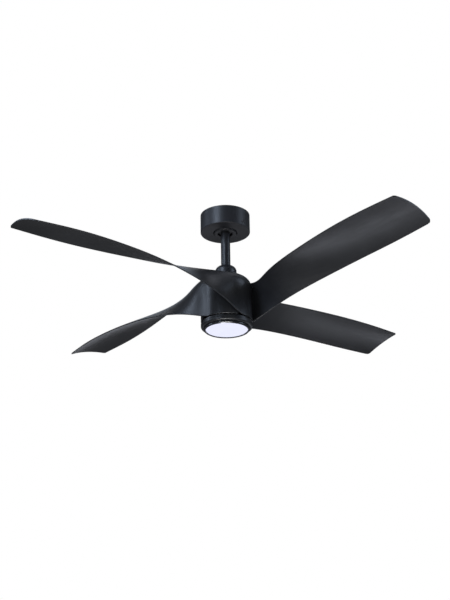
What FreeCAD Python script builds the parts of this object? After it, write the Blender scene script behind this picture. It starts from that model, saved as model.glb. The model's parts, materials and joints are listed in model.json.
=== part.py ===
"""Ceiling fan with light: four twisted blades, a DC motor, a downrod and an LED light kit.

The origin is the middle of the ceiling face, +Z is up, and lengths are in millimetres.
Heights written as "z" count from the ceiling, so almost all of them are negative.
"""
import FreeCAD
import Part

import math
import os
import re

import Sketcher
from FreeCAD import Placement, Rotation, Vector

UP = Vector(0, 0, 1)
ALONG_X = Vector(1, 0, 0)
ALONG_Y = Vector(0, 1, 0)

# Driving dimensions. Each becomes an aliased cell of the spreadsheet "Sizes".
SIZES = {
    # ceiling bracket
    "plate_radius": 63.0,
    "plate_thickness": 2.5,
    "wire_hole_radius": 14.0,
    "slot_half_width": 2.6,
    "slot_length": 14.0,
    "slot_spacing": 88.9,
    "leg_width": 28.0,
    "leg_thickness": 2.5,
    "leg_bottom_z": -46.0,
    "ring_outer_radius": 31.5,
    "ring_bore_radius": 21.0,
    "ring_bottom_z": -56.0,
    "ring_top_z": -34.0,
    "ring_round": 2.5,
    "tab_reach": 6.5,
    "ear_width": 18.0,
    "ear_bottom_z": -50.0,
    # hanger ball and downrod
    "ball_radius": 28.0,
    "ball_centre_z": -30.0,
    "ball_top_z": -16.0,
    "ball_bottom_z": -48.0,
    "ball_neck_radius": 16.5,
    "ball_neck_z": -52.5,
    "socket_play": 0.3,
    "groove_depth": 6.5,
    "rod_radius": 13.0,
    "rod_wall": 2.0,
    "rod_top_z": -12.0,
    "rod_bottom_z": -196.0,
    "fit_play": 0.05,
    "ball_pin_z": -24.0,
    "pin_radius": 3.0,
    # canopy
    "canopy_radius": 69.2,
    "canopy_height": 52.7,
    "canopy_wall": 1.5,
    "canopy_edge_round": 1.6,
    "canopy_hole_radius": 33.6,
    "canopy_screw_z": -44.0,
    "canopy_screw_angle": -45.0,
    # coupling cover and motor coupling
    "cover_radius": 29.5,
    "cover_top_radius": 14.5,
    "cover_bottom_z": -190.6,
    "cover_top_z": -157.0,
    "cover_wall": 2.0,
    "cover_hole_radius": 13.6,
    "collar_radius": 18.0,
    "collar_top_z": -166.0,
    "collar_foot_radius": 21.5,
    "collar_foot_z": -206.0,
    "coupling_pin_z": -176.0,
    # motor
    "shaft_radius": 8.5,
    "shaft_bore": 4.5,
    "shaft_top_z": -197.0,
    "shaft_bottom_z": -316.0,
    "bearing_radius": 20.0,
    "bearing_width": 12.0,
    "rotor_radius": 60.0,
    "rotor_wall": 5.0,
    "rotor_top_z": -210.0,
    "rotor_bottom_z": -294.0,
    "stator_radius": 51.0,
    "stator_top_z": -232.0,
    "stator_bottom_z": -272.0,
    "magnet_radius": 51.7,
    "tooth_count": 12,
    # rotating hub: wall, dome and cap
    "hub_radius": 70.2,
    "dome_round": 32.0,
    "hub_top_z": -191.6,
    "hub_bottom_z": -321.0,
    "cap_radius": 51.6,
    "cap_thickness": 3.0,
    "cap_hole_radius": 24.0,
    # blades
    "blade_plane_z": -232.0,
    "blade_count": 4,
    "first_blade_angle": -46.9,
    "blade_thickness": 4.0,
    "tip_thickness": 3.0,
    "tip_low_x": 658.5,
    "tip_low_y": 53.0,
    "tip_high_x": 647.0,
    "tip_high_y": -73.5,
    "tip_bow": 4.0,
    "tip_round": 12.0,
    "panel_angle": 72.0,
    # light kit
    "kit_radius": 70.2,
    "kit_neck_radius": 67.8,
    "kit_top_z": -322.6,
    "kit_band_z": -327.0,
    "kit_bottom_z": -338.5,
    "kit_round": 5.0,
    "kit_mouth_radius": 63.2,
    "bezel_radius": 62.2,
    "bezel_bottom_z": -345.0,
    "bezel_mouth_radius": 57.6,
    "diffuser_radius": 57.2,
    "diffuser_face_z": -343.2,
    "led_rings": 3,
}

# Blade stations, in the blade's own frame: x along the blade, y towards the next blade
# counter-clockwise, z up from the blade plane. Each row is
# x, lower edge y and z, upper edge y and z, arch angle at the upper and at the lower edge.
BLADE_STATIONS = [
    (0, 70.2, -89.0, 52.0, 37.5, 60, 9),
    (30, 73.0, -80.0, 57.5, 31.5, 36, 12),
    (60, 76.3, -69.3, 55.0, 27.2, 24, 14),
    (120, 81.5, -51.0, 30.5, 24.7, 17, 14),
    (200, 85.6, -35.0, 0.0, 22.8, 13, 13),
    (300, 88.8, -22.7, -26.0, 21.3, 13, 13),
    (420, 84.8, -15.6, -51.0, 19.3, 15, 15),
    (540, 74.0, -13.7, -66.5, 17.3, 15, 15),
    (668, 51.0, -15.6, -73.2, 15.1, 15, 15),
]
STATION_COLUMNS = ("x", "low_y", "low_z", "high_y", "high_z", "arch_high", "arch_low")
# Stations at which the blade's section is drawn; close together where it twists most.
SECTION_STEPS = (0, 8, 18, 30, 44, 60, 80, 102, 128, 160, 200, 245, 295, 350, 410, 470, 530,
                 585, 630, 668)
SECTION_POINTS = 15
END_STEP = 0.8          # the first and last steps along a section, against 1 for the others
ROOT_BLEND = 60.0       # length over which the hub's outline turns into the blade's section
TAPER_LENGTH = 200.0    # length over which the blade thins to its tip thickness
ROOT_PLAY = 0.35        # gap between a blade's panel and the next blade's root
TIP_REACH = 140.0       # half width of the prism that trims the tip

# Fixing places: radii, and angles in degrees.
TAB_THICKNESS = 4.0
TAB_SCREW_ANGLES = (110, 140)
BLADE_SCREW_RADIUS = 45.0
CAP_SCREW_RADIUS = 30.0
CAP_SCREW_ANGLES = (0, 90, 180, 270)
ROTOR_SCREW_ANGLES = (0, 60, 120, 180, 240, 300)
POST_RADIUS = 36.0
POST_ANGLES = (60, 180, 300)
BOARD_SCREW_RADIUS = 50.0
BOARD_SCREW_ANGLES = (30, 150, 270)
LUG_ANGLES = (0, 120, 240)
LUG_TURN = 20.0
LUG_REACH = 60.2

# Supply leads: where each runs beside the pins in the rod, and its angle in the shaft.
LEAD_RADIUS = 1.2
LEADS_IN_ROD = ((3.2, 5.6), (-3.2, 5.6), (0.0, -5.6))
LEADS_IN_SHAFT = (30, 150, 270)
LEAD_CIRCLE = 2.4

doc = FreeCAD.newDocument("ceiling_fan")
sheet = doc.addObject("Spreadsheet::Sheet", "Sizes")
nodes = {}


# ---------------------------------------------------------------- sheet and formulas

def fill_sheet():
    """Write the driving dimensions and the blade stations as aliased cells."""
    entries = list(SIZES.items())
    for row, station in enumerate(BLADE_STATIONS):
        for column, value in zip(STATION_COLUMNS, station):
            entries.append((f"station{row}_{column}", value))
    for line, (alias, value) in enumerate(entries, start=1):
        sheet.set(f"A{line}", alias)
        sheet.set(f"B{line}", str(value))
        sheet.setAlias(f"B{line}", alias)
    doc.recompute()


def size(alias):
    """Read one driving dimension back from the sheet."""
    return float(sheet.get(alias))


def formula(text):
    """Turn plain words that are aliases into references to the sheet."""
    def reference(match):
        word = match.group(0)
        return f"Sizes.{word}" if word in SIZES else word
    return re.sub(r"[a-z_][a-z_0-9]*", reference, text)


def bind(item, **properties):
    """Bind properties to formulas; Placement parts are written x, y, z."""
    for name, text in properties.items():
        path = f"Placement.Base.{name}" if name in ("x", "y", "z") else name
        item.setExpression(path, formula(str(text)))
    return item


# ---------------------------------------------------------------- small building blocks

def cylinder(name, radius, height, direction=UP, **place):
    item = doc.addObject("Part::Cylinder", name)
    item.Placement.Rotation = Rotation(UP, direction)
    return bind(item, Radius=radius, Height=height, **place)


def box(name, length, width, height, turn=0, **place):
    """A block whose corner is at its placement, turned about +Z by a plain angle."""
    item = doc.addObject("Part::Box", name)
    item.Placement.Rotation = Rotation(UP, turn)
    return bind(item, Length=length, Width=width, Height=height, **place)


def sphere(name, radius, **place):
    item = doc.addObject("Part::Sphere", name)
    return bind(item, Radius=radius, **place)


def union(name, *items):
    item = doc.addObject("Part::MultiFuse", name)
    item.Shapes = list(items)
    return item


def minus(name, base, *tools):
    item = doc.addObject("Part::Cut", name)
    item.Base = base
    item.Tool = tools[0] if len(tools) == 1 else union(f"{name}_tools", *tools)
    return item


def shared(name, base, tool):
    item = doc.addObject("Part::Common", name)
    item.Base = base
    item.Tool = tool
    return item


def group(name, shapes):
    """Identical loose pieces: separate solids in one node."""
    item = doc.addObject("Part::Feature", name)
    item.Shape = Part.makeCompound(shapes)
    return item


def turned(name, profile, z="0"):
    """A body of revolution; the profile is a list of (radius, height) formulas from z."""
    body = doc.addObject("PartDesign::Body", name)
    plane = next(o for o in body.Origin.OriginFeatures if o.Role == "XZ_Plane")
    sketch = body.newObject("Sketcher::SketchObject", f"{name}_profile")
    sketch.AttachmentSupport = [(plane, "")]
    sketch.MapMode = "FlatFace"
    draw_profile(sketch, profile)
    revolution = body.newObject("PartDesign::Revolution", f"{name}_turn")
    revolution.Profile = sketch
    revolution.ReferenceAxis = (sketch, ["V_Axis"])
    revolution.Angle = 360
    bind(body, z=z)
    return body


def draw_profile(sketch, profile):
    """Draw a closed polygon and fix each of its corners with two bound constraints."""
    start = 1
    horizontal, vertical = "DistanceX", "DistanceY"
    corners = [(evaluate(r), evaluate(h)) for r, h in profile]
    for index, (r, h) in enumerate(corners):
        following = corners[(index + 1) % len(corners)]
        line = Part.LineSegment(Vector(r, h, 0), Vector(following[0], following[1], 0))
        sketch.addGeometry(line, False)
    for index in range(len(corners)):
        following = (index + 1) % len(corners)
        sketch.addConstraint(Sketcher.Constraint("Coincident", index, 2, following, start))
    for index, (r_text, h_text) in enumerate(profile):
        for kind, text in ((horizontal, r_text), (vertical, h_text)):
            value = evaluate(text)
            if abs(value) < 1e-9:
                sketch.addConstraint(on_axis(kind, index))
                continue
            row = sketch.addConstraint(Sketcher.Constraint(kind, -1, 1, index, start, value))
            sketch.setExpression(f"Constraints[{row}]", formula(str(text)))


def on_axis(kind, index):
    """Keep a corner on the sketch's vertical (X is 0) or horizontal (Y is 0) axis."""
    axis = -2 if kind == "DistanceX" else -1
    return Sketcher.Constraint("PointOnObject", index, 1, axis)


def evaluate(text):
    """The number that a formula has at present."""
    return float(sheet.evalExpression(formula(str(text)).replace("Sizes.", "")))


def rounded(name, body, radius, chosen):
    """Round the circular edges of a body whose (radius, local height) are listed."""
    base = body.Tip
    names = []
    for index, edge in enumerate(base.Shape.Edges, start=1):
        curve = edge.Curve
        if not isinstance(curve, Part.Circle):
            continue
        for want_radius, want_height in chosen:
            near_radius = abs(curve.Radius - evaluate(want_radius)) < 0.01
            near_height = abs(curve.Center.z - evaluate(want_height)) < 0.01
            if near_radius and near_height:
                names.append(f"Edge{index}")
    fillet = body.newObject("PartDesign::Fillet", name)
    fillet.Base = (base, names)
    bind(fillet, Radius=radius)
    return body


# ---------------------------------------------------------------- plain solid helpers

def rod_solid(radius, start, end):
    """A solid cylinder between two points."""
    along = end - start
    return Part.makeCylinder(radius, along.Length, start, along)


def sector(inner, outer, low, high, first_angle, last_angle):
    """A block bent round the Z axis between two radii, two heights and two angles."""
    sweep = last_angle - first_angle
    floor = Vector(0, 0, low)
    full = Part.makeCylinder(outer, high - low, floor, UP, sweep)
    core = Part.makeCylinder(inner, high - low, floor, UP, sweep)
    block = full.cut(core)
    block.rotate(Vector(), UP, first_angle)
    return block


def pan_screw(radius, length, head_radius, head_height):
    """A screw along -Z whose head rests on z = 0, with a cross slot in its rounded head."""
    shank = Part.makeCylinder(radius, length, Vector(0, 0, -length))
    crown = 0.35 * head_height
    bulge = (head_radius ** 2 + crown ** 2) / (2 * crown)
    ball = Part.makeSphere(bulge, Vector(0, 0, head_height - bulge))
    head = Part.makeCylinder(head_radius, head_height).common(ball)
    slot_width = 0.28 * head_radius
    for angle in (0, 90):
        slot = Part.makeBox(1.3 * head_radius, slot_width, head_height)
        slot.translate(Vector(-0.65 * head_radius, -slot_width / 2, 0.55 * head_height))
        slot.rotate(Vector(), UP, angle)
        head = head.cut(slot)
    return shank.fuse(head)


def round_about(shape, radius, angle, z=0.0):
    """A copy of a shape moved out along +X and turned about the Z axis."""
    copy = shape.copy()
    copy.translate(Vector(radius, 0, z))
    copy.rotate(Vector(), UP, angle)
    return copy


# ---------------------------------------------------------------- ceiling bracket, canopy

def make_ceiling_bracket():
    """Steel plate with two slots, two legs, the socket ring and two canopy flanges."""
    plate = cylinder("bracket_plate", "plate_radius", "plate_thickness", z="-plate_thickness")
    ring = turned("bracket_ring", [
        ("ring_bore_radius", "0"),
        ("ring_outer_radius", "0"),
        ("ring_outer_radius", "ring_top_z - ring_bottom_z"),
        ("ring_bore_radius", "ring_top_z - ring_bottom_z"),
    ], z="ring_bottom_z")
    doc.recompute()
    rounded("bracket_ring_edge", ring, "ring_round", [("ring_outer_radius", "0")])
    solids = [plate, ring]
    for side in (-1, 1):
        inner = "ring_outer_radius - 2" if side > 0 else "-ring_outer_radius + 2 - leg_thickness"
        solids.append(box(f"bracket_leg{side}", "leg_width", "leg_thickness", "-leg_bottom_z",
                          x="-leg_width / 2", y=inner, z="leg_bottom_z"))
    seat = sphere("bracket_seat", "ball_radius + socket_play", z="ball_centre_z")
    holes = [seat, cylinder("bracket_wire_hole", "wire_hole_radius", "10", z="-8")]
    holes += slot_cutters()
    tab = box("bracket_tab", "5.6", "tab_reach", "9",
              x="-2.8", y="ring_outer_radius - tab_reach", z="ring_top_z - 9")
    body = minus("bracket_body", union("bracket_pieces", *solids), *holes)
    flanges = [flange(index) for index in range(2)]
    return union("ceiling_bracket", body, tab, *flanges)


def slot_cutters():
    """Two slots along X, one each side, for the ceiling box's screws."""
    tools = []
    straight = "slot_length - 2 * slot_half_width"
    for side in (-1, 1):
        centre = f"{side} * slot_spacing / 2"
        tools.append(box(f"slot_middle{side}", straight, "2 * slot_half_width", "10",
                         x=f"{centre} - ({straight}) / 2", y="-slot_half_width", z="-8"))
        for end in (-1, 1):
            tools.append(cylinder(f"slot_end{side}_{end}", "slot_half_width", "10",
                                  x=f"{centre} + {end} * ({straight}) / 2", z="-8"))
    return tools


def flange(index):
    """A bent-down ear with a slot, open below, that takes a canopy screw."""
    angle = size("canopy_screw_angle") + 180 * index
    outer = size("plate_radius")
    half = size("ear_width") / 2
    low = size("ear_bottom_z")
    ear = Part.makeBox(size("plate_thickness"), 2 * half, -low,
                       Vector(outer - size("plate_thickness"), -half, low))
    slot_z = size("canopy_screw_z")
    slot = Part.makeBox(10, 4.6, slot_z - low, Vector(outer - 8, -2.3, low))
    slot = slot.fuse(rod_solid(2.3, Vector(outer - 8, 0, slot_z), Vector(outer + 2, 0, slot_z)))
    item = doc.addObject("Part::Feature", f"bracket_flange{index}")
    item.Shape = ear.cut(slot)
    item.Placement = Placement(Vector(), Rotation(UP, angle))
    return item


def make_receiver_box():
    """Remote-control receiver, fixed under the bracket plate beside the ball."""
    length, width, height = 18, 52, 24
    item = doc.addObject("Part::Feature", "receiver_box")
    case = Part.makeBox(length, width, height)
    case = case.makeFillet(1.5, case.Edges)
    item.Shape = case
    item.Placement = Placement(Vector(-57, -width / 2, -size("plate_thickness") - height),
                               Rotation())
    return item


def make_terminal_block():
    """Three-way screw terminal under the bracket plate."""
    pitch, depth, height = 9.0, 14.0, 12.0
    block = Part.makeBox(depth, 3 * pitch, height)
    for way in range(3):
        middle = (way + 0.5) * pitch
        block = block.cut(rod_solid(2.2, Vector(-1, middle, 4), Vector(depth + 1, middle, 4)))
        block = block.cut(rod_solid(2.6, Vector(depth / 2, middle, -1), Vector(depth / 2, middle, 2)))
    item = doc.addObject("Part::Feature", "terminal_block")
    item.Shape = block
    item.Placement = Placement(Vector(40, -1.5 * pitch, -size("plate_thickness") - height),
                               Rotation())
    return item


def make_canopy():
    """Deep cylindrical cover, open to the ceiling, with a wide hole for the ball."""
    shell = turned("canopy_shell", [
        ("canopy_hole_radius", "0"),
        ("canopy_radius", "0"),
        ("canopy_radius", "canopy_height"),
        ("canopy_radius - canopy_wall", "canopy_height"),
        ("canopy_radius - canopy_wall", "canopy_wall"),
        ("canopy_hole_radius", "canopy_wall"),
    ], z="-canopy_height")
    doc.recompute()
    rounded("canopy_edge", shell, "canopy_edge_round", [("canopy_radius", "0")])
    holes = []
    for index in range(2):
        angle = math.radians(size("canopy_screw_angle") + 180 * index)
        outward = Vector(math.cos(angle), math.sin(angle), 0)
        holes.append(cylinder(f"canopy_screw_hole{index}", "2.3", "20", outward,
                              x=60 * outward.x, y=60 * outward.y, z="canopy_screw_z"))
    return minus("canopy", shell, *holes)


def make_canopy_screws():
    """Two pan-head screws through the canopy wall into the bracket ears."""
    screw = pan_screw(2.0, 12.0, 4.0, 2.4)
    screw.rotate(Vector(), ALONG_Y, 90)
    first = size("canopy_screw_angle")
    places = [round_about(screw, size("canopy_radius"), first + 180 * index,
                          size("canopy_screw_z")) for index in range(2)]
    return group("canopy_screws", places)


# ---------------------------------------------------------------- ball, rod and coupling

def make_hanger_ball():
    """Ball that carries the rod, with a short neck and a groove for the anti-turn tab."""
    whole = sphere("ball_whole", "ball_radius", z="ball_centre_z")
    slab = cylinder("ball_slab", "ball_radius + 1", "ball_top_z - ball_bottom_z", z="ball_bottom_z")
    bore = cylinder("ball_bore", "rod_radius + fit_play", "80", z="ball_centre_z - 40")
    pin_hole = cylinder("ball_pin_hole", "pin_radius + fit_play", "80", ALONG_X,
                        x="-40", z="ball_pin_z")
    grub_hole = cylinder("ball_grub_hole", "2.55", "30", -ALONG_Y, y="-10", z="ball_centre_z - 8")
    groove = box("ball_groove", "6.6", "12", "60", x="-3.3", y="ball_radius - groove_depth",
                 z="ball_centre_z - 30")
    neck = cylinder("ball_neck", "ball_neck_radius", "ball_bottom_z - ball_neck_z + 2",
                    z="ball_neck_z")
    solid = union("ball_solid", shared("ball_zone", whole, slab), neck)
    return minus("hanger_ball", solid, bore, pin_hole, grub_hole, groove)


def make_ball_pin():
    return cylinder("ball_pin", "pin_radius", "48", ALONG_X, x="-24", z="ball_pin_z")


def make_ball_set_screw():
    return cylinder("ball_set_screw", "2.5", "12", -ALONG_Y, y="-rod_radius - fit_play",
                    z="ball_centre_z - 8")


def make_downrod():
    """Steel tube pinned to the ball above and to the motor coupling below."""
    tube = turned("rod_tube", [
        ("rod_radius - rod_wall", "0"),
        ("rod_radius", "0"),
        ("rod_radius", "rod_top_z - rod_bottom_z"),
        ("rod_radius - rod_wall", "rod_top_z - rod_bottom_z"),
    ], z="rod_bottom_z")
    top_hole = cylinder("rod_top_hole", "pin_radius + fit_play", "80", ALONG_X,
                        x="-40", z="ball_pin_z")
    low_hole = cylinder("rod_low_hole", "pin_radius + fit_play", "80", ALONG_X,
                        x="-40", z="coupling_pin_z")
    return minus("downrod", tube, top_hole, low_hole)


def make_lead_wires():
    """Three supply leads that pass beside the pins in the rod and join in the hollow shaft."""
    top, bottom = size("rod_top_z") + 4, size("shaft_bottom_z")
    bend_top = size("coupling_pin_z") - size("pin_radius") - 2
    bend_low = size("shaft_top_z") + 1
    middle = (bend_top + bend_low) / 2
    wires = []
    for (x, y), angle in zip(LEADS_IN_ROD, LEADS_IN_SHAFT):
        inner_x = LEAD_CIRCLE * math.cos(math.radians(angle))
        inner_y = LEAD_CIRCLE * math.sin(math.radians(angle))
        bend = Part.BezierCurve()
        bend.setPoles([Vector(x, y, bend_top), Vector(x, y, middle),
                       Vector(inner_x, inner_y, middle), Vector(inner_x, inner_y, bend_low)])
        path = Part.Wire([
            Part.LineSegment(Vector(x, y, top), Vector(x, y, bend_top)).toShape(),
            bend.toShape(),
            Part.LineSegment(Vector(inner_x, inner_y, bend_low),
                             Vector(inner_x, inner_y, bottom)).toShape(),
        ])
        ring = Part.Wire(Part.makeCircle(LEAD_RADIUS, Vector(x, y, top), UP))
        wires.append(path.makePipeShell([ring], True, False))
    return group("lead_wires", wires)


def make_motor_coupling():
    """Cast collar that holds the rod above and the motor shaft below."""
    foot, collar = "8", "collar_top_z - collar_foot_z"
    step = "rod_bottom_z - 0.2 - collar_foot_z"
    casting = turned("coupling_casting", [
        ("shaft_radius + fit_play", "0"),
        ("collar_foot_radius", "0"),
        ("collar_foot_radius", foot),
        ("collar_radius", foot),
        ("collar_radius", collar),
        ("rod_radius + fit_play", collar),
        ("rod_radius + fit_play", step),
        ("shaft_radius + fit_play", step),
    ], z="collar_foot_z")
    pin_hole = cylinder("coupling_pin_hole", "pin_radius + fit_play", "80", ALONG_X,
                        x="-40", z="coupling_pin_z")
    grub_holes = cylinder("coupling_grub_holes", "3.05", "80", ALONG_Y,
                          y="-40", z="coupling_pin_z - 11")
    return minus("motor_coupling", casting, pin_hole, grub_holes)


def make_coupling_pin():
    """Headed cross pin with a small hole at its far end for the spring clip."""
    radius, z = size("pin_radius"), size("coupling_pin_z")
    pin = rod_solid(radius, Vector(-20, 0, z), Vector(25, 0, z))
    head = rod_solid(radius + 1.8, Vector(-22.5, 0, z), Vector(-20, 0, z))
    hole = rod_solid(1.0, Vector(21.5, 0, z - 5), Vector(21.5, 0, z + 5))
    item = doc.addObject("Part::Feature", "coupling_pin")
    item.Shape = pin.fuse(head).cut(hole)
    return item


def make_pin_clip():
    """U-shaped spring clip: one leg through the pin, the other beside it."""
    wire, bend, leg = 0.9, 3.0, 12.0
    inner_leg = Part.makeCylinder(wire, leg, Vector(0, 0, -leg / 2))
    outer_leg = Part.makeCylinder(wire, leg, Vector(0, 2 * bend, -leg / 2))
    bow = Part.makeTorus(bend, wire, Vector(0, bend, leg / 2), ALONG_X)
    upper = Part.makeBox(8, 20, 10, Vector(-4, -5, leg / 2))
    item = doc.addObject("Part::Feature", "pin_clip")
    item.Shape = inner_leg.fuse([outer_leg, bow.common(upper)])
    item.Placement = Placement(Vector(21.5, 0, size("coupling_pin_z")), Rotation())
    return item


def make_coupling_set_screws():
    """Two socket screws that bear on the rod."""
    reach = size("rod_radius") + size("fit_play")
    z = size("coupling_pin_z") - 11
    screws = []
    for side in (-1, 1):
        grub = rod_solid(3.0, Vector(0, side * reach, z), Vector(0, side * (reach + 7), z))
        socket = rod_solid(1.4, Vector(0, side * (reach + 4), z), Vector(0, side * (reach + 8), z))
        screws.append(grub.cut(socket))
    return group("coupling_set_screws", screws)


def make_coupling_cover():
    """Rounded sleeve that hides the coupling and can be slid up the rod."""
    tall = "cover_top_z - cover_bottom_z"
    inside = "cover_radius - cover_wall"
    bend = "(cover_radius - cover_top_radius)"
    # Two corners inside the rounded shoulder keep its wall about even.
    shoulder = [(f"cover_top_radius + 0.88 * {bend} * cos({angle})",
                 f"{tall} - {bend} + 0.88 * {bend} * sin({angle})") for angle in (70, 34)]
    cover = turned("coupling_cover", [
        (inside, "0"),
        ("cover_radius", "0"),
        ("cover_radius", tall),
        ("cover_hole_radius", tall),
        ("cover_hole_radius", f"{tall} - cover_wall"),
        *shoulder,
        (inside, f"{tall} - {bend}"),
    ], z="cover_bottom_z")
    doc.recompute()
    return rounded("cover_shoulder", cover, "cover_radius - cover_top_radius",
                   [("cover_radius", tall)])


# ---------------------------------------------------------------- motor

def make_motor_shaft():
    return turned("motor_shaft", [
        ("shaft_bore", "0"),
        ("shaft_radius", "0"),
        ("shaft_radius", "shaft_top_z - shaft_bottom_z"),
        ("shaft_bore", "shaft_top_z - shaft_bottom_z"),
    ], z="shaft_bottom_z")


def make_bearing(name, z):
    """Shielded ball bearing; the shallow rings on both faces are its shields."""
    shield_in, shield_out, dip = "shaft_radius + 3", "bearing_radius - 3", "0.6"
    return turned(name, [
        ("shaft_radius + fit_play", "0"),
        (shield_in, "0"),
        (shield_in, dip),
        (shield_out, dip),
        (shield_out, "0"),
        ("bearing_radius", "0"),
        ("bearing_radius", "bearing_width"),
        (shield_out, "bearing_width"),
        (shield_out, f"bearing_width - {dip}"),
        (shield_in, f"bearing_width - {dip}"),
        (shield_in, "bearing_width"),
        ("shaft_radius + fit_play", "bearing_width"),
    ], z=z)


def make_rotor_top():
    """Bell of the outer rotor, with the upper bearing's seat and the blade screw holes."""
    tall = "rotor_top_z - rotor_bottom_z - 4"
    under = f"{tall} - 4"
    seat, boss = "bearing_radius + 0.02", "bearing_radius + 4"
    bell = turned("rotor_bell", [
        ("shaft_radius + 3.5", tall),
        ("rotor_radius", tall),
        ("rotor_radius", "0"),
        ("rotor_radius - rotor_wall", "0"),
        ("rotor_radius - rotor_wall", under),
        (boss, under),
        (boss, f"{under} - 14"),
        (seat, f"{under} - 14"),
        (seat, under),
        ("shaft_radius + 3.5", under),
    ], z="rotor_bottom_z + 4")
    holes = []
    for x, y, _ in screw_places(BLADE_SCREW_RADIUS, blade_screw_angles()):
        holes.append(cylinder("rotor_blade_hole", "2.05", "20", x=x, y=y, z="rotor_top_z - 10"))
    for x, y, _ in screw_places(CAP_SCREW_RADIUS, CAP_SCREW_ANGLES):
        holes.append(cylinder("rotor_cap_hole", "1.6", "20", x=x, y=y, z="rotor_top_z - 10"))
    middle = evaluate("rotor_radius - rotor_wall / 2")
    for x, y, _ in screw_places(middle, ROTOR_SCREW_ANGLES):
        holes.append(cylinder("rotor_rim_hole", "1.35", "12", x=x, y=y, z="rotor_bottom_z + 3"))
    return minus("rotor_top", bell, *holes)


def make_rotor_bottom():
    """Plate that closes the rotor and carries the lower bearing."""
    seat, boss = "bearing_radius + 0.02", "bearing_radius + 4"
    plate = turned("rotor_plate", [
        ("shaft_radius + 3.5", "0"),
        ("rotor_radius", "0"),
        ("rotor_radius", "4"),
        (boss, "4"),
        (boss, "16"),
        (seat, "16"),
        (seat, "4"),
        ("shaft_radius + 3.5", "4"),
    ], z="rotor_bottom_z")
    holes = []
    middle = evaluate("rotor_radius - rotor_wall / 2")
    for x, y, _ in screw_places(middle, ROTOR_SCREW_ANGLES):
        holes.append(cylinder("plate_rim_hole", "1.35", "12", x=x, y=y, z="rotor_bottom_z - 3"))
    return minus("rotor_bottom", plate, *holes)


def blade_angles():
    count = int(size("blade_count"))
    return [size("first_blade_angle") + index * 360 / count for index in range(count)]


def blade_screw_angles():
    """Two screws through each blade's inner tab."""
    return [angle + offset for angle in blade_angles() for offset in TAB_SCREW_ANGLES]


def screw_places(radius, angles):
    return [(radius * math.cos(math.radians(a)), radius * math.sin(math.radians(a)), a)
            for a in angles]


def make_rotor_screws():
    screw = pan_screw(1.3, 10.0, 2.4, 1.6)
    screw.rotate(Vector(), ALONG_X, 180)
    middle = evaluate("rotor_radius - rotor_wall / 2")
    return group("rotor_screws", [round_about(screw, middle, angle, size("rotor_bottom_z"))
                                  for angle in ROTOR_SCREW_ANGLES])


def make_blade_screws():
    screw = pan_screw(2.0, 9.0, 4.0, 2.4)
    top = size("rotor_top_z") + TAB_THICKNESS
    return group("blade_screws", [round_about(screw, BLADE_SCREW_RADIUS, angle, top)
                                  for angle in blade_screw_angles()])


def make_cap_screws():
    screw = pan_screw(1.5, 11.0, 2.8, 1.8)
    screw.rotate(Vector(), ALONG_X, 180)
    under = size("rotor_top_z") - 4
    return group("hub_cap_screws", [round_about(screw, CAP_SCREW_RADIUS, angle, under)
                                    for angle in CAP_SCREW_ANGLES])


def make_magnet_ring():
    low = "stator_bottom_z - 4"
    tall = "stator_top_z - stator_bottom_z + 8"
    return turned("magnet_ring", [
        ("magnet_radius", "0"),
        ("rotor_radius - rotor_wall - 0.05", "0"),
        ("rotor_radius - rotor_wall - 0.05", tall),
        ("magnet_radius", tall),
    ], z=low)


def make_stator_core():
    """Laminated stack: a ring on the shaft with wound teeth and curved tooth shoes."""
    low, high = size("stator_bottom_z"), size("stator_top_z")
    outer = size("stator_radius")
    core = sector(size("shaft_radius") + 0.02, 26.0, low, high, 0, 360)
    count = int(size("tooth_count"))
    teeth = []
    for tooth in range(count):
        stem = Part.makeBox(outer - 27, 7, high - low, Vector(25, -3.5, low))
        shoe = sector(outer - 4, outer, low, high, -11, 11)
        whole = stem.fuse(shoe)
        whole.rotate(Vector(), UP, 360 * tooth / count)
        teeth.append(whole)
    item = doc.addObject("Part::Feature", "stator_core")
    item.Shape = core.fuse(teeth).removeSplitter()
    return item


def make_stator_windings():
    """One coil round each tooth, standing 5 mm proud of the stack at both ends."""
    low, high = size("stator_bottom_z"), size("stator_top_z")
    coil = Part.makeBox(17, 14.2, high - low + 10, Vector(28, -7.1, low - 5))
    coil = coil.makeFillet(2.5, [e for e in coil.Edges if abs(e.BoundBox.XLength - 17) < 0.1])
    coil = coil.cut(Part.makeBox(30, 7.4, high - low + 0.4, Vector(20, -3.7, low - 0.2)))
    count = int(size("tooth_count"))
    return group("stator_windings", [round_about(coil, 0, 360 * tooth / count)
                                     for tooth in range(count)])


# ---------------------------------------------------------------- rotating hub and blades

def dome_centre():
    """Radius and height (from the ceiling) of the middle of the dome's rounding."""
    return size("hub_radius") - size("dome_round"), size("hub_top_z") - size("dome_round")


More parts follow.
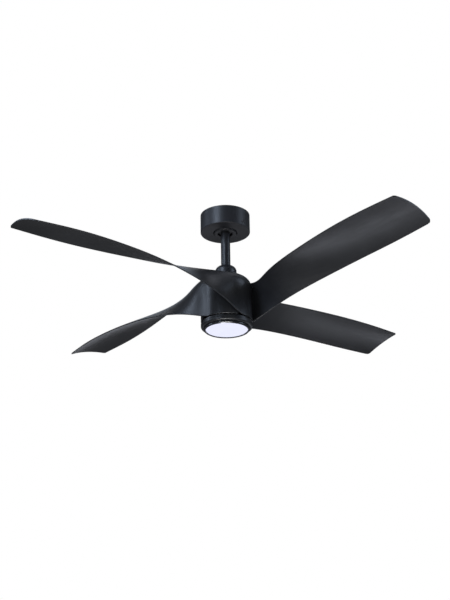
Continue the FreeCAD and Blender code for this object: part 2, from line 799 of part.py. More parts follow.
def make_hub_cap():
    """Top of the dome, inside the blades' panels, on a ring that stands on the rotor."""
    middle_radius, middle_z = dome_centre()
    hole, top = size("cap_hole_radius"), size("hub_top_z")
    outer = size("dome_round")
    inner = outer - size("cap_thickness")
    edge_angle = math.degrees(math.acos((size("cap_radius") - middle_radius) / outer))

    def on_arc(radius, angle):
        return Vector(middle_radius + radius * math.cos(math.radians(angle)), 0,
                      middle_z + radius * math.sin(math.radians(angle)))

    half = (edge_angle + 90) / 2
    outline = [
        Part.LineSegment(Vector(hole, 0, top), on_arc(outer, 90)),
        Part.Arc(on_arc(outer, 90), on_arc(outer, half), on_arc(outer, edge_angle)),
        Part.LineSegment(on_arc(outer, edge_angle), on_arc(inner, edge_angle)),
        Part.Arc(on_arc(inner, edge_angle), on_arc(inner, half), on_arc(inner, 90)),
        Part.LineSegment(on_arc(inner, 90), Vector(hole, 0, middle_z + inner)),
        Part.LineSegment(Vector(hole, 0, middle_z + inner), Vector(hole, 0, top)),
    ]
    face = Part.Face(Part.Wire([piece.toShape() for piece in outline]))
    disc = face.revolve(Vector(), UP, 360)
    foot = sector(CAP_SCREW_RADIUS - 3, CAP_SCREW_RADIUS + 3, size("rotor_top_z"),
                  middle_z + inner + 0.5, 0, 360)
    holes = [rod_solid(1.6, Vector(x, y, size("rotor_top_z") - 1), Vector(x, y, top - 6))
             for x, y, _ in screw_places(CAP_SCREW_RADIUS, CAP_SCREW_ANGLES)]
    item = doc.addObject("Part::Feature", "hub_cap")
    item.Shape = disc.fuse(foot).cut(holes)
    return item


def station_curve(columns, first, last):
    """Smooth curve through the stations; its parameter is the distance along the blade."""
    points, marks = [], []
    for row in range(len(BLADE_STATIONS)):
        x = size(f"station{row}_x")
        y, z = (size(f"station{row}_{column}") for column in columns)
        points.append(Vector(x, y, z))
        marks.append(x)
    curve = Part.BSplineCurve()
    curve.interpolate(Points=points, Parameters=marks, InitialTangent=first,
                      FinalTangent=last, Scale=False)
    return curve


def arched_section(low, high, arch_high, arch_low):
    """Points from the upper to the lower edge on one cubic whose ends tilt off the chord."""
    slope = math.atan2(high.z - low.z, low.y - high.y)
    start_angle, end_angle = slope - math.radians(arch_high), slope + math.radians(arch_low)
    start = Vector(0, math.cos(start_angle), -math.sin(start_angle))
    end = Vector(0, math.cos(end_angle), -math.sin(end_angle))
    across = low - high
    turn = math.radians(arch_high + arch_low)
    reach_start = across.cross(end).x / start.cross(end).x
    reach_end = start.cross(across).x / start.cross(end).x
    shorter = min(reach_start, reach_end)
    fullness = (4 / 3) * math.tan(turn / 4) / math.tan(turn / 2)
    handle_start = high + start * (reach_start - (1 - fullness) * shorter)
    handle_end = low - end * (reach_end - (1 - fullness) * shorter)
    curve = Part.BezierCurve()
    curve.setPoles([high, handle_start, handle_end, low])
    return [curve.value(step / (SECTION_POINTS - 1)) for step in range(SECTION_POINTS)]


def hub_section(low, high):
    """The same count of points along the hub's own outline: dome rounding, then wall."""
    middle_radius, middle_z = dome_centre()
    middle_z -= size("blade_plane_z")
    radius = size("dome_round")
    start_angle = math.acos(min((high.y - middle_radius) / radius, 1.0))
    arc = radius * start_angle
    total = arc + middle_z - low.z
    points = []
    for step in range(SECTION_POINTS):
        gone = total * step / (SECTION_POINTS - 1)
        if gone < arc:
            angle = start_angle - gone / radius
            points.append(Vector(low.x, middle_radius + radius * math.cos(angle),
                                 middle_z + radius * math.sin(angle)))
        else:
            points.append(Vector(low.x, middle_radius + radius, middle_z - (gone - arc)))
    return points


def blade_section(x, low_edge, high_edge, arch):
    """Closed wire of the blade at one distance along it, with round edges.

    The root is the hub's own outline, and it turns into the arched section over ROOT_BLEND,
    so the blade leaves the hub without a crease.
    """
    low, high, angles = low_edge.value(x), high_edge.value(x), arch.value(x)
    outer = arched_section(low, high, angles.y, angles.z)
    change = ease(x / ROOT_BLEND)
    if change < 1:
        outer = [h + (p - h) * change for p, h in zip(outer, hub_section(low, high))]
    along = ease(x / TAPER_LENGTH)
    thick = size("blade_thickness")
    thick += (size("tip_thickness") - thick) * along
    return closed_section([Vector(x, p.y, p.z) for p in outer], thick, along / 2)


def ease(share):
    """0 to 1 with level ends."""
    share = min(share, 1.0)
    return share * share * (3 - 2 * share)


def closed_section(outer, thick, rise):
    """Give a line of points a thickness; rise is the share of it on the outer side."""
    front, back = [], []
    for index, point in enumerate(outer):
        before = outer[max(index - 1, 0)]
        after = outer[min(index + 1, len(outer) - 1)]
        along = after - before
        inward = Vector(0, along.z, -along.y).normalize()
        front.append(point - inward * thick * rise)
        back.append(point + inward * thick * (1 - rise))
    trim = thick / 2
    front, back = pull_in(front, trim), pull_in(back, trim)
    nose_low = nose(front[-1], back[-1], front[-1] - front[-2], trim)
    nose_high = nose(back[0], front[0], front[0] - front[1], trim)
    return Part.Wire([smooth(front), nose_low, smooth(back[::-1]), nose_high])


def pull_in(points, trim):
    """Shorten both ends of a row of points to make room for the round noses."""
    points = list(points)
    points[0] = points[0] + (points[1] - points[0]).normalize() * trim
    points[-1] = points[-1] + (points[-2] - points[-1]).normalize() * trim
    return points


def nose(start, end, outward, radius):
    middle = (start + end) / 2 + Vector(outward).normalize() * radius
    return Part.Arc(start, middle, end).toShape()


def smooth(points):
    """Spline through evenly spaced points whose two end steps are a little shorter.

    Every section uses the same parameters, so that the loft's surface stays light.
    """
    marks = [0.0]
    for step in range(1, len(points)):
        at_end = step in (1, len(points) - 1)
        marks.append(marks[-1] + (END_STEP if at_end else 1.0))
    curve = Part.BSplineCurve()
    curve.interpolate(Points=points, Parameters=marks)
    return curve.toShape()


def tip_outline():
    """Prism whose plan keeps the blade and trims its tip to a bowed edge with round corners."""
    low_x, high_x = size("tip_low_x"), size("tip_high_x")
    bow, corner = size("tip_bow"), size("tip_round")
    start, end = Vector(low_x, size("tip_low_y"), 0), Vector(high_x, size("tip_high_y"), 0)
    across = (end - start).normalize()
    middle = (start + end) / 2 + Vector(-across.y, across.x, 0) * bow
    inside = Vector(-1, 0, 0)
    # Each corner is an arc between a point back along the blade and one along the tip edge.
    low_side, low_tip = start + inside * corner, start + across * corner
    high_side, high_tip = end + inside * corner, end - across * corner
    low_mid = start + (inside + across) * corner * 0.29
    high_mid = end + (inside - across) * corner * 0.29
    low_far, high_far = Vector(-200, TIP_REACH, 0), Vector(-200, -TIP_REACH, 0)
    low_wide = Vector(low_x - 90, TIP_REACH, 0)
    high_wide = Vector(high_x - 90, -TIP_REACH, 0)
    pieces = [
        Part.LineSegment(high_far, low_far),
        Part.LineSegment(low_far, low_wide),
        Part.LineSegment(low_wide, low_side),
        Part.Arc(low_side, low_mid, low_tip),
        Part.Arc(low_tip, middle, high_tip),
        Part.Arc(high_tip, high_mid, high_side),
        Part.LineSegment(high_side, high_wide),
        Part.LineSegment(high_wide, high_far),
    ]
    face = Part.Face(Part.Wire([piece.toShape() for piece in pieces]))
    face.translate(Vector(0, 0, -150))
    return face.extrude(Vector(0, 0, 300))


def blade_shape():
    """One moulding: the twisted blade, the hub wall that it grows from, and its fixings."""
    low_edge = station_curve(("low_y", "low_z"), Vector(1, 0.02, 0.2), Vector(1, -0.19, -0.02))
    high_edge = station_curve(("high_y", "high_z"), Vector(1, 0.18, -0.09), Vector(1, -0.05, -0.02))
    arch = station_curve(("arch_high", "arch_low"), ALONG_X, ALONG_X)
    wires = [blade_section(x, low_edge, high_edge, arch) for x in SECTION_STEPS]
    strip = Part.makeLoft(wires, True).common(tip_outline())
    panel = Part.Face(wires[0]).revolve(Vector(), UP, size("panel_angle"))
    return strip.fuse(panel.cut(next_root(wires[:6]))).fuse(blade_fixings())


def next_root(wires):
    """The room that the next blade's root needs, where this blade's panel runs under it."""
    root = Part.makeLoft(wires, True)
    tools = []
    for inward in (0, ROOT_PLAY):
        tool = root.copy()
        tool.translate(Vector(0, -inward, 0))
        tool.rotate(Vector(), UP, 360 / size("blade_count"))
        tools.append(tool)
    return tools


def blade_fixings():
    """A tab that is screwed to the rotor's top, and a pad that steadies the wall below."""
    tab_low = size("rotor_top_z") - size("blade_plane_z")
    pad_low = size("rotor_bottom_z") - size("blade_plane_z") + 4
    tab = sector(36, size("dome_round") + 30.5, tab_low, tab_low + TAB_THICKNESS, 100, 150)
    for x, y, _ in screw_places(BLADE_SCREW_RADIUS, TAB_SCREW_ANGLES):
        tab = tab.cut(rod_solid(2.05, Vector(x, y, tab_low - 1), Vector(x, y, tab_low + 10)))
    pad = sector(size("rotor_radius") + 0.3, size("hub_radius") - 3, pad_low, pad_low + 6, 120, 130)
    return [tab, pad]


def make_blades():
    """Identical mouldings, evenly spaced round the hub."""
    shape = blade_shape()
    blades = []
    for index, angle in enumerate(blade_angles(), start=1):
        item = doc.addObject("Part::Feature", f"blade_{index}")
        item.Shape = shape
        item.Placement = Placement(Vector(0, 0, size("blade_plane_z")), Rotation(UP, angle))
        blades.append(item)
    return blades


# ---------------------------------------------------------------- light kit

def make_light_bracket():
    """Plate on the shaft with three threaded posts that the light housing hangs from."""
    plate = turned("light_plate", [
        ("shaft_radius + fit_play", "0"),
        ("42", "0"),
        ("42", "3"),
        ("shaft_radius + fit_play", "3"),
    ], z="shaft_bottom_z + 7")
    low = size("kit_top_z")
    high = size("shaft_bottom_z") + 7
    posts = []
    for x, y, _ in screw_places(POST_RADIUS, POST_ANGLES):
        post = rod_solid(4.0, Vector(x, y, low), Vector(x, y, high))
        posts.append(post.cut(rod_solid(1.6, Vector(x, y, low - 1), Vector(x, y, low + 9))))
    item = doc.addObject("Part::Feature", "light_posts")
    item.Shape = Part.makeCompound(posts)
    return union("light_bracket", plate, item)


def make_shaft_nut():
    """Hexagon nut that clamps the light bracket to the end of the shaft."""
    across_corners = 14.0
    corners = [Vector(across_corners * math.cos(math.radians(60 * i)),
                      across_corners * math.sin(math.radians(60 * i)), 0) for i in range(7)]
    nut = Part.Face(Part.makePolygon(corners)).extrude(Vector(0, 0, 6))
    nut = nut.common(Part.makeCone(across_corners - 1, across_corners + 5, 6))
    nut = nut.cut(Part.makeCylinder(size("shaft_radius") + size("fit_play"), 10, Vector(0, 0, -1)))
    item = doc.addObject("Part::Feature", "shaft_nut")
    item.Shape = nut
    item.Placement = Placement(Vector(0, 0, size("shaft_bottom_z") + 1), Rotation())
    return item


def make_light_housing():
    """Stationary pan below the hub, with a narrower neck and a rounded lower rim."""
    top, band = "kit_top_z - kit_bottom_z", "kit_band_z - kit_bottom_z"
    under = f"{top} - 2.4"
    pan = turned("light_pan", [
        ("10", top),
        ("kit_neck_radius", top),
        ("kit_neck_radius", band),
        ("kit_radius", band),
        ("kit_radius", "0"),
        ("kit_mouth_radius", "0"),
        ("kit_mouth_radius", "2"),
        ("kit_mouth_radius + 1.8", "2"),
        ("kit_mouth_radius + 1.8", under),
        ("10", under),
    ], z="kit_bottom_z")
    doc.recompute()
    rounded("light_rim", pan, "kit_round", [("kit_radius", "0")])
    holes = [cylinder("housing_hole", "1.6", "20", x=x, y=y, z="kit_top_z - 10")
             for x, y, _ in screw_places(POST_RADIUS, POST_ANGLES)]
    return minus("light_housing", pan, *holes)


def make_housing_screws():
    screw = pan_screw(1.5, 9.0, 2.8, 1.8)
    screw.rotate(Vector(), ALONG_X, 180)
    under = size("kit_top_z") - 2.4
    return group("housing_screws", [round_about(screw, POST_RADIUS, angle, under)
                                    for angle in POST_ANGLES])


def make_led_driver():
    """Sealed power supply that lies on top of the light housing."""
    case = Part.makeBox(36, 32, 11)
    case = case.makeFillet(1.5, case.Edges)
    item = doc.addObject("Part::Feature", "led_driver")
    item.Shape = case
    item.Placement = Placement(Vector(18, -16, size("kit_top_z")), Rotation())
    return item


def make_heat_spreader():
    """Aluminium disc between the housing and the board, clear of the screw heads."""
    top = size("kit_top_z") - 2.4
    disc = Part.makeCylinder(60, 3, Vector(0, 0, top - 3))
    for x, y, _ in screw_places(POST_RADIUS, POST_ANGLES):
        disc = disc.cut(rod_solid(4.2, Vector(x, y, top - 4), Vector(x, y, top + 1)))
    for x, y, _ in screw_places(BOARD_SCREW_RADIUS, BOARD_SCREW_ANGLES):
        disc = disc.cut(rod_solid(1.3, Vector(x, y, top - 4), Vector(x, y, top + 1)))
    item = doc.addObject("Part::Feature", "heat_spreader")
    item.Shape = disc
    return item


def board_top():
    return size("kit_top_z") - 5.4


def make_led_board():
    top = board_top()
    board = Part.makeCylinder(54, 1.6, Vector(0, 0, top - 1.6))
    for x, y, _ in screw_places(BOARD_SCREW_RADIUS, BOARD_SCREW_ANGLES):
        board = board.cut(rod_solid(1.5, Vector(x, y, top - 4), Vector(x, y, top + 1)))
    item = doc.addObject("Part::Feature", "led_board")
    item.Shape = board
    return item


def make_board_screws():
    screw = pan_screw(1.25, 4.4, 2.2, 1.0)
    screw.rotate(Vector(), ALONG_X, 180)
    return group("board_screws", [round_about(screw, BOARD_SCREW_RADIUS, angle, board_top() - 1.6)
                                  for angle in BOARD_SCREW_ANGLES])


def make_leds():
    """Rings of small square emitters under the board."""
    low = board_top() - 2.6
    chips = []
    for ring in range(int(size("led_rings"))):
        count = 6 * (ring + 1)
        for index in range(count):
            chip = Part.makeBox(3, 3, 1, Vector(-1.5, -1.5, low))
            chips.append(round_about(chip, 14 * (ring + 1), 360 * index / count + 10))
    return group("leds", chips)


def make_bezel():
    """Trim ring in the housing's mouth; its lip holds the diffuser by three lugs."""
    ring = turned("bezel_ring", [
        ("bezel_mouth_radius", "0"),
        ("bezel_radius - 2", "0"),
        ("bezel_radius", "2"),
        ("bezel_radius", "8.7"),
        ("kit_mouth_radius + 1.5", "8.7"),
        ("kit_mouth_radius + 1.5", "10.7"),
        ("bezel_radius", "10.7"),
        ("bezel_radius", "15"),
        ("bezel_radius - 1.6", "15"),
        ("bezel_radius - 1.6", "2.5"),
        ("bezel_mouth_radius", "2.5"),
    ], z="bezel_bottom_z")
    notches = doc.addObject("Part::Feature", "bezel_notches")
    low = size("bezel_bottom_z")
    notches.Shape = Part.makeCompound([
        sector(50, LUG_REACH + 0.2, low - 1, low + 4, angle + LUG_TURN - 6, angle + LUG_TURN + 6)
        for angle in LUG_ANGLES])
    return minus("bezel", ring, notches)


def make_diffuser():
    """Opal dish with three lugs; a short turn lines them up with the bezel's notches."""
    dish = turned("diffuser_dish", [
        ("0", "0"),
        ("diffuser_radius - 1.5", "0"),
        ("diffuser_radius", "1.5"),
        ("diffuser_radius", "11"),
        ("diffuser_radius - 2", "11"),
        ("diffuser_radius - 2", "2"),
        ("0", "2"),
    ], z="diffuser_face_z")
    lugs = doc.addObject("Part::Feature", "diffuser_lugs")
    low = size("diffuser_face_z") + 0.9
    lugs.Shape = Part.makeCompound([
        sector(size("diffuser_radius") - 1, LUG_REACH, low, low + 2, angle - 5, angle + 5)
        for angle in LUG_ANGLES])
    return union("diffuser", dish, lugs)


# ---------------------------------------------------------------- assembly and export

def build():
    """Make every sub-part; each one's label is the name of its node."""
    fill_sheet()
    made = [
        make_ceiling_bracket(), make_receiver_box(), make_terminal_block(),
        make_canopy(), make_canopy_screws(),
        make_hanger_ball(), make_ball_pin(), make_ball_set_screw(),
        make_downrod(), make_lead_wires(),
        make_motor_coupling(), make_coupling_pin(), make_pin_clip(), make_coupling_set_screws(),
        make_coupling_cover(),
        make_motor_shaft(), make_stator_core(), make_stator_windings(),
        make_bearing("upper_bearing", "rotor_top_z - 16"),
        make_bearing("lower_bearing", "rotor_bottom_z + 4"),
        make_rotor_top(), make_rotor_bottom(), make_rotor_screws(), make_magnet_ring(),
        *make_blades(), make_blade_screws(), make_hub_cap(), make_cap_screws(),
        make_light_bracket(), make_shaft_nut(), make_light_housing(), make_housing_screws(),
        make_led_driver(), make_heat_spreader(), make_led_board(), make_board_screws(),
        make_leds(), make_bezel(), make_diffuser(),
    ]
    doc.recompute()
    for item in made:
        item.Label = item.Name
        nodes[item.Label] = item


def check():
    """Stop if any object failed to compute or any node's shape is missing or not valid."""
    for item in doc.Objects:
        if "Invalid" in item.State or "Error" in item.State:
            raise RuntimeError(f"{item.Name} did not compute: {item.State}")
    for name, item in nodes.items():
        if item.Shape.isNull() or not item.Shape.isValid() or not item.Shape.Solids:
            raise RuntimeError(f"{name} has no valid solid")


def export():
    os.makedirs("parts", exist_ok=True)
    for name, item in nodes.items():
        item.Shape.exportStep(f"parts/{name}.step")
        box_size = item.Shape.BoundBox
        print(f"{name:22s} solids {len(item.Shape.Solids):3d} volume {item.Shape.Volume:10.1f} "
              f"z {box_size.ZMin:8.2f} .. {box_size.ZMax:8.2f}")


build()
check()
export()
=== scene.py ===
"""Looks for the ceiling fan with light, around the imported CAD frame. Lengths are in metres."""
import json
import math

import bpy
from mathutils import Matrix, Vector


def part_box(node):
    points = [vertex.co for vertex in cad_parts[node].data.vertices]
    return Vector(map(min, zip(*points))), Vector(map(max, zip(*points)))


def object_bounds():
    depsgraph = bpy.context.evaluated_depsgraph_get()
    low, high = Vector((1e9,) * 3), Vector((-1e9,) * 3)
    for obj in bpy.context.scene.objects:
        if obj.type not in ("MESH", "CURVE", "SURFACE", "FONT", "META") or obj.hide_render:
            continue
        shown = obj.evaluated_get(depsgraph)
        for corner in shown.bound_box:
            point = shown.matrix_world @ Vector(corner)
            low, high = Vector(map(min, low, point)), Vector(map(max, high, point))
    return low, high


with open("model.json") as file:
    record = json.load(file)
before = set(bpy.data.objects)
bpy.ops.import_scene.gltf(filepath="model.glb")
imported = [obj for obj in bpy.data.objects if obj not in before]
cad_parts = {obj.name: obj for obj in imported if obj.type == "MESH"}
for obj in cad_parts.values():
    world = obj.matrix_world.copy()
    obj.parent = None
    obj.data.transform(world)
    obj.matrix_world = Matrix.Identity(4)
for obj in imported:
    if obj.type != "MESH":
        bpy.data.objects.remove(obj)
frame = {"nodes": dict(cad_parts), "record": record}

cad_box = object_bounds()
nodes = frame["nodes"]
scene = bpy.context.scene

WHITE = (1.0, 1.0, 1.0)
COOL = (0.68, 0.80, 1.0)         # light of the panels beside the fan
PALE = (0.86, 0.89, 1.0)         # light of the panels below and behind it
BACKDROP = (1.0, 1.0, 1.0)
SURROUNDINGS = (0.92, 0.95, 1.0)
SURROUNDINGS_STRENGTH = 0.095
HUB = Vector((0, 0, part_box("hub_cap")[1].z - 0.06))     # the hub's middle, where lights aim

FLOOR_DEPTH = 5.0                # below the fan's lowest point
FLOOR_RADIUS = 150.0
FLOOR_SIDES = 96

CAMERA_PLACE = (-0.001, -2.767, -1.396)
CAMERA_LENS, CAMERA_SENSOR = 65.78, 36.0                # millimetres
CAMERA_RISE, CAMERA_TURN, CAMERA_ROLL = 22.40, 0.056, -0.89     # degrees
CAMERA_REACH = 200.0


# ---------------------------------------------------------------- shader helpers

class Shader:
    """A material's node tree, with short calls for the few kinds of node that are used."""

    def __init__(self, name):
        self.material = bpy.data.materials.new(name)
        self.material.use_nodes = True
        self.tree = self.material.node_tree
        self.tree.nodes.clear()
        self.surface = self.add("ShaderNodeBsdfPrincipled")
        output = self.add("ShaderNodeOutputMaterial")
        self.link(self.surface.outputs["BSDF"], output.inputs["Surface"])
        self.place = self.add("ShaderNodeTexCoord").outputs["Object"]

    def add(self, kind, **settings):
        node = self.tree.nodes.new(kind)
        for key, value in settings.items():
            setattr(node, key, value)
        return node

    def link(self, source, target):
        self.tree.links.new(source, target)

    def stretched(self, scale):
        """Object coordinates scaled by three factors, for grain with a direction."""
        mapping = self.add("ShaderNodeMapping")
        mapping.inputs["Scale"].default_value = scale
        self.link(self.place, mapping.inputs["Vector"])
        return mapping.outputs["Vector"]

    def noise(self, scale, detail=3.0, roughness=0.55, vector=None):
        node = self.add("ShaderNodeTexNoise")
        node.inputs["Scale"].default_value = scale
        node.inputs["Detail"].default_value = detail
        node.inputs["Roughness"].default_value = roughness
        self.link(vector or self.place, node.inputs["Vector"])
        return node.outputs["Fac"]

    def spread(self, value, low, high, to_low, to_high):
        """Map a value from one range to another, held at the ends."""
        node = self.add("ShaderNodeMapRange")
        node.inputs["From Min"].default_value = low
        node.inputs["From Max"].default_value = high
        node.inputs["To Min"].default_value = to_low
        node.inputs["To Max"].default_value = to_high
        self.link(value, node.inputs["Value"])
        return node.outputs["Result"]

    def math(self, operation, first, second):
        node = self.add("ShaderNodeMath", operation=operation)
        for socket, value in zip(node.inputs, (first, second)):
            if isinstance(value, (int, float)):
                socket.default_value = value
            else:
                self.link(value, socket)
        return node.outputs["Value"]

    def blend(self, share, first, second):
        """Mix two colours, each a tuple or a socket. The share of the second is a socket."""
        node = self.add("ShaderNodeMix", data_type="RGBA")
        self.link(share, node.inputs["Factor"])
        colour_a, colour_b = node.inputs[6], node.inputs[7]
        for socket, value in ((colour_a, first), (colour_b, second)):
            if isinstance(value, tuple):
                socket.default_value = (*value, 1.0)
            else:
                self.link(value, socket)
        return node.outputs[2]

    def bump(self, height, distance):
        node = self.add("ShaderNodeBump")
        node.inputs["Distance"].default_value = distance
        node.inputs["Strength"].default_value = 1.0
        self.link(height, node.inputs["Height"])
        return node.outputs["Normal"]

    def edges(self, radius):
        """1 on convex and concave edges, 0 on open faces."""
        soft = self.add("ShaderNodeBevel", samples=4)
        soft.inputs["Radius"].default_value = radius
        true = self.add("ShaderNodeNewGeometry").outputs["Normal"]
        dot = self.add("ShaderNodeVectorMath", operation="DOT_PRODUCT")
        self.link(soft.outputs["Normal"], dot.inputs[0])
        self.link(true, dot.inputs[1])
        return self.spread(dot.outputs["Value"], 0.97, 0.80, 0.0, 1.0)

    def finish(self, colour, roughness, normal=None, **uniform):
        """Connect the surface. The uniform values go on the shader's own sockets."""
        if isinstance(colour, tuple):
            self.surface.inputs["Base Color"].default_value = (*colour, 1.0)
        else:
            self.link(colour, self.surface.inputs["Base Color"])
        self.link(roughness, self.surface.inputs["Roughness"])
        if normal is not None:
            self.link(normal, self.surface.inputs["Normal"])
        for name, value in uniform.items():
            self.surface.inputs[name.replace("_", " ")].default_value = value
        return self.material


# ---------------------------------------------------------------- materials

def satin_black(name, colour, roughness, grain=900.0, depth=0.00003, edge_wear_and_highlight=0.10):
    """Satin black coat or moulding: fine grain, faint clouds, dust, and paler edges that are
    partly wear and partly a painted edge highlight.
    """
    shader = Shader(name)
    fine = shader.noise(grain, 2.0, 0.6)
    cloud = shader.noise(9.0, 4.0, 0.6)
    speck = shader.noise(grain * 2.3, 1.0, 0.5)
    lighter = tuple(1.7 * c + 0.002 for c in colour)
    base = shader.blend(shader.spread(cloud, 0.35, 0.7, 0.0, 1.0), colour, lighter)
    base = shader.blend(shader.spread(speck, 0.66, 0.74, 0.0, 0.35), base,
                        tuple(3 * c for c in colour))
    # Paler edges: partly wear, partly a painted highlight along the edges.
    base = shader.blend(shader.math("MULTIPLY", shader.edges(0.0012), edge_wear_and_highlight), base,
                        (0.11, 0.112, 0.12))
    rough = shader.spread(fine, 0.3, 0.7, roughness - 0.05, roughness + 0.06)
    rough = shader.math("ADD", rough, shader.spread(cloud, 0.3, 0.7, -0.03, 0.03))
    return shader.finish(base, rough, shader.bump(fine, depth))


def blade_black(name, colour, roughness):
    """Moulded blade: faint flow streaks along the blade over a fine grain."""
    shader = Shader(name)
    fine = shader.noise(1100.0, 2.0, 0.6)
    cloud = shader.noise(7.0, 4.0, 0.6)
    streak = shader.noise(60.0, 3.0, 0.6, shader.stretched((0.25, 0.25, 6.0)))
    base = shader.blend(shader.spread(cloud, 0.35, 0.7, 0.0, 1.0), colour,
                        tuple(1.6 * c + 0.001 for c in colour))
    # Paler edges: partly wear, partly a painted highlight along the edges.
    base = shader.blend(shader.math("MULTIPLY", shader.edges(0.0010), 0.12), base,
                        (0.12, 0.122, 0.13))
    rough = shader.spread(fine, 0.3, 0.7, roughness - 0.04, roughness + 0.05)
    rough = shader.math("ADD", rough, shader.spread(streak, 0.3, 0.7, -0.035, 0.035))
    return shader.finish(base, rough, shader.bump(streak, 0.000006))


def plastic(name, colour, roughness, grain=700.0, depth=0.00003):
    """Moulded plastic with a fine eroded texture and slightly rubbed edges."""
    shader = Shader(name)
    fine = shader.noise(grain, 2.0)
    cloud = shader.noise(20.0, 3.0)
    base = shader.blend(shader.spread(cloud, 0.35, 0.65, 0.0, 1.0), colour,
                        tuple(0.86 * c for c in colour))
    rubbed = tuple(min(1.0, 1.3 * c + 0.02) for c in colour)
    base = shader.blend(shader.math("MULTIPLY", shader.edges(0.0008), 0.4), base, rubbed)
    rough = shader.spread(fine, 0.3, 0.7, roughness - 0.06, roughness + 0.06)
    return shader.finish(base, rough, shader.bump(fine, depth))


def metal(name, colour, roughness, stretch=(1, 1, 1), grain=500.0, depth=0.00002, shade=0.7):
    """Bare metal: grain stretched along the working direction, darker stains, bright edges."""
    shader = Shader(name)
    lines = shader.noise(grain, 3.0, 0.6, shader.stretched(stretch))
    stain = shader.noise(28.0, 4.0, 0.65)
    base = shader.blend(shader.spread(stain, 0.35, 0.7, 0.0, 1.0), colour,
                        tuple(shade * c for c in colour))
    base = shader.blend(shader.math("MULTIPLY", shader.edges(0.0006), 0.5), base,
                        tuple(min(1.0, 1.25 * c) for c in colour))
    rough = shader.spread(lines, 0.3, 0.7, roughness - 0.07, roughness + 0.09)
    return shader.finish(base, rough, shader.bump(lines, depth), Metallic=1.0)


def galvanised(name):
    """Zinc-coated sheet: flat crystals of slightly different grey and gloss."""
    shader = Shader(name)
    crystals = shader.add("ShaderNodeTexVoronoi")
    crystals.inputs["Scale"].default_value = 240.0
    shader.link(shader.place, crystals.inputs["Vector"])
    tone = shader.add("ShaderNodeSeparateColor")
    shader.link(crystals.outputs["Color"], tone.inputs["Color"])
    cloud = shader.noise(25.0, 4.0)
    base = shader.blend(tone.outputs["Red"], (0.50, 0.51, 0.52), (0.66, 0.67, 0.68))
    base = shader.blend(shader.spread(cloud, 0.45, 0.7, 0.0, 0.5), base, (0.42, 0.43, 0.44))
    rough = shader.spread(tone.outputs["Green"], 0.0, 1.0, 0.30, 0.50)
    return shader.finish(base, rough, shader.bump(cloud, 0.00003), Metallic=1.0)


def striped(name, colour, dark, direction, period, roughness, metallic, depth):
    """Fine parallel ridges, for a stack of laminations or for wound wire."""
    shader = Shader(name)
    wave = shader.add("ShaderNodeTexWave", bands_direction=direction)
    wave.inputs["Scale"].default_value = 0.314 / period
    wave.inputs["Distortion"].default_value = 0.4
    wave.inputs["Detail"].default_value = 1.0
    shader.link(shader.place, wave.inputs["Vector"])
    ridge = wave.outputs["Fac"]
    cloud = shader.noise(90.0, 3.0)
    base = shader.blend(ridge, dark, colour)
    base = shader.blend(shader.spread(cloud, 0.4, 0.7, 0.0, 0.4), base, dark)
    rough = shader.spread(cloud, 0.3, 0.7, roughness - 0.06, roughness + 0.08)
    return shader.finish(base, rough, shader.bump(ridge, depth), Metallic=metallic)


def opal(name):
    """Lit opal acrylic: even glow with a faint lavender tint."""
    shader = Shader(name)
    cloud = shader.noise(30.0, 3.0)
    fine = shader.noise(700.0, 2.0)
    glow = shader.blend(shader.spread(cloud, 0.3, 0.7, 0.0, 1.0),
                        (0.575, 0.59, 0.74), (0.60, 0.615, 0.76))
    material = shader.finish((0.30, 0.30, 0.33), shader.spread(fine, 0.3, 0.7, 0.30, 0.40),
                             shader.bump(fine, 0.00001), Emission_Strength=1.0)
    shader.link(glow, shader.surface.inputs["Emission Color"])
    return material


def emitter(name):
    """Yellow phosphor window of a lit LED, with grain in the gel."""
    shader = Shader(name)
    gel = shader.noise(1500.0, 2.0)
    tone = shader.blend(shader.spread(gel, 0.3, 0.7, 0.0, 1.0), (0.95, 0.80, 0.30),
                        (1.0, 0.92, 0.55))
    material = shader.finish(tone, shader.spread(gel, 0.3, 0.7, 0.25, 0.4),
                             shader.bump(gel, 0.00001), Emission_Strength=1.2)
    shader.link(tone, shader.surface.inputs["Emission Color"])
    return material


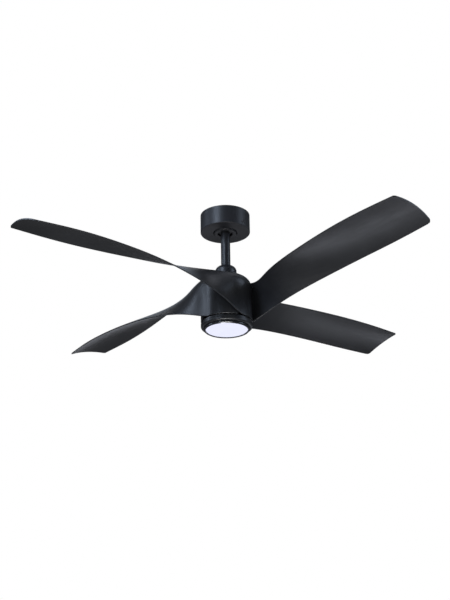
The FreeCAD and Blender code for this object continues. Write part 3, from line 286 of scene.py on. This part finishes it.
MATERIALS = {
    "black_painted_metal": satin_black("canopy_coat", (0.0085, 0.009, 0.011), 0.42),
    "black_blade_plastic": blade_black("blade_plastic", (0.0085, 0.009, 0.0105), 0.37),
    "black_moulded_plastic": satin_black("cover_plastic", (0.0085, 0.009, 0.011), 0.40),
    "black_light_metal": satin_black("light_coat", (0.008, 0.0085, 0.010), 0.36),
    "black_gloss_trim": satin_black("trim_gloss", (0.007, 0.0075, 0.009), 0.26, depth=0.00001),
    # The screws' strongly paler edges are partly wear and partly a painted glint.
    "black_screws": satin_black("black_oxide", (0.012, 0.012, 0.014), 0.22, depth=0.00001,
                                edge_wear_and_highlight=0.6),
    "black_box_plastic": plastic("box_plastic", (0.03, 0.03, 0.033), 0.48),
    "ball_plastic": plastic("ball_nylon", (0.012, 0.0125, 0.014), 0.40, depth=0.00001),
    "natural_plastic": plastic("natural_nylon", (0.78, 0.76, 0.68), 0.45),
    "wire_insulation": plastic("wire_pvc", (0.80, 0.80, 0.77), 0.38, depth=0.00001),
    "white_board": plastic("solder_mask", (0.84, 0.85, 0.84), 0.30, depth=0.00001),
    "galvanised_steel": galvanised("zinc_plate"),
    "machined_steel": metal("turned_steel", (0.62, 0.62, 0.63), 0.26, (1, 1, 14), 160.0),
    "bare_aluminium": metal("rolled_aluminium", (0.76, 0.77, 0.78), 0.34, (14, 1, 1), 120.0),
    "cast_metal": metal("cast_alloy", (0.20, 0.20, 0.21), 0.52, grain=420.0, depth=0.0001),
    "magnet": metal("ferrite", (0.09, 0.09, 0.095), 0.55, grain=900.0, depth=0.00004),
    "lamination_steel": striped("laminations", (0.42, 0.42, 0.43), (0.20, 0.20, 0.21), "Z",
                                0.0010, 0.42, 1.0, 0.00008),
    "copper_winding": striped("enamelled_wire", (0.62, 0.27, 0.10), (0.24, 0.09, 0.035), "Z",
                              0.0012, 0.30, 0.85, 0.0002),
    "opal_diffuser": opal("opal_acrylic"),
    "led_emitter": emitter("phosphor"),
}


def dress(node, material):
    mesh = nodes[node].data
    mesh.materials.clear()
    mesh.materials.append(material)


for entry in frame["record"]["subparts"]:
    dress(entry["node"], MATERIALS[entry["material_slot"]])


# ---------------------------------------------------------------- studio

def softbox(name, place, size, power, colour=WHITE, aim=HUB):
    """Soft panel that the camera doesn't see, turned to face a point."""
    lamp = bpy.data.lights.new(name, "AREA")
    lamp.shape = "RECTANGLE"
    lamp.size, lamp.size_y = size
    lamp.energy = power
    lamp.color = colour
    item = bpy.data.objects.new(name, lamp)
    scene.collection.objects.link(item)
    item.location = place
    item.rotation_euler = (aim - Vector(place)).to_track_quat("-Z", "Y").to_euler()
    item.visible_camera = False


def studio():
    """White backdrop for the camera, dim surroundings for everything else, and the panels."""
    world = bpy.data.worlds.new("studio")
    scene.world = world
    world.use_nodes = True
    tree = world.node_tree
    tree.nodes.clear()
    output = tree.nodes.new("ShaderNodeOutputWorld")
    mixer = tree.nodes.new("ShaderNodeMixShader")
    rays = tree.nodes.new("ShaderNodeLightPath")
    surroundings = tree.nodes.new("ShaderNodeBackground")
    surroundings.inputs["Color"].default_value = (*SURROUNDINGS, 1.0)
    surroundings.inputs["Strength"].default_value = SURROUNDINGS_STRENGTH
    backdrop = tree.nodes.new("ShaderNodeBackground")
    backdrop.inputs["Color"].default_value = (*BACKDROP, 1.0)
    tree.links.new(rays.outputs["Is Camera Ray"], mixer.inputs["Fac"])
    tree.links.new(surroundings.outputs[0], mixer.inputs[1])
    tree.links.new(backdrop.outputs[0], mixer.inputs[2])
    tree.links.new(mixer.outputs[0], output.inputs["Surface"])

    # Panels that show as soft reflections: name, place, size, watts, colour, aim.
    softbox("key_left", (-1.9, -2.3, 0.8), (1.0, 2.4), 66, COOL)
    softbox("fill_right", (2.6, -0.6, 0.25), (1.0, 1.9), 22, COOL)
    softbox("side_left", (-2.4, -0.1, 0.6), (0.35, 0.7), 8.2, COOL)
    softbox("top", (1.25, 0.35, 1.8), (0.8, 0.8), 2.2, PALE)
    softbox("front", (0.9, -3.3, -0.5), (1.6, 1.6), 6)
    softbox("floor_front", (-0.1, -0.9, -2.3), (1.4, 0.4), 40)
    softbox("floor_back", (0.1, 2.1, -2.35), (0.9, 0.9), 7.0, PALE, Vector((0.2, 1.9, 0)))
    softbox("floor_far", (1.8, 3.8, -2.35), (1.0, 1.0), 12, PALE, Vector((1.5, 3.4, 0)))
    softbox("back", (0.2, 3.2, 0.0), (1.5, 0.45), 3.2, PALE)
    # These two light the upper sides, which show only from above.
    softbox("back_high", (0.0, 3.0, 2.0), (2.6, 1.0), 5, COOL)
    softbox("overhead", (-0.6, 1.1, 2.9), (2.0, 1.4), 30)


def floor():
    """Plain pale floor well below the fan. It glows by itself, and only the camera sees it."""
    level = cad_box[0].z - FLOOR_DEPTH
    turns = [math.tau * i / FLOOR_SIDES for i in range(FLOOR_SIDES)]
    rim = [(FLOOR_RADIUS * math.cos(t), FLOOR_RADIUS * math.sin(t), level) for t in turns]
    mesh = bpy.data.meshes.new("floor")
    mesh.from_pydata(rim, [], [range(FLOOR_SIDES)])
    item = bpy.data.objects.new("floor", mesh)
    scene.collection.objects.link(item)
    shader = Shader("floor_paint")
    grain = shader.noise(60.0, 4.0)
    rough = shader.spread(grain, 0.3, 0.7, 0.55, 0.7)
    mesh.materials.append(shader.finish((0.86, 0.86, 0.86), rough, Emission_Strength=0.74,
                                        Emission_Color=(0.98, 0.99, 1.0, 1.0)))
    item.visible_glossy = item.visible_diffuse = False


def camera():
    """In front of the fan and below it, looking up."""
    lens = bpy.data.cameras.new("camera")
    lens.sensor_width = CAMERA_SENSOR
    lens.lens = CAMERA_LENS
    lens.clip_end = CAMERA_REACH
    item = bpy.data.objects.new("camera", lens)
    scene.collection.objects.link(item)
    turn = Matrix.Rotation(math.radians(CAMERA_TURN), 4, "Z")
    rise = Matrix.Rotation(math.pi / 2 + math.radians(CAMERA_RISE), 4, "X")
    roll = Matrix.Rotation(math.radians(CAMERA_ROLL), 4, "Z")
    item.matrix_world = Matrix.Translation(CAMERA_PLACE) @ turn @ rise @ roll
    scene.camera = item


scene.view_settings.view_transform = "Standard"
studio()
floor()
camera()
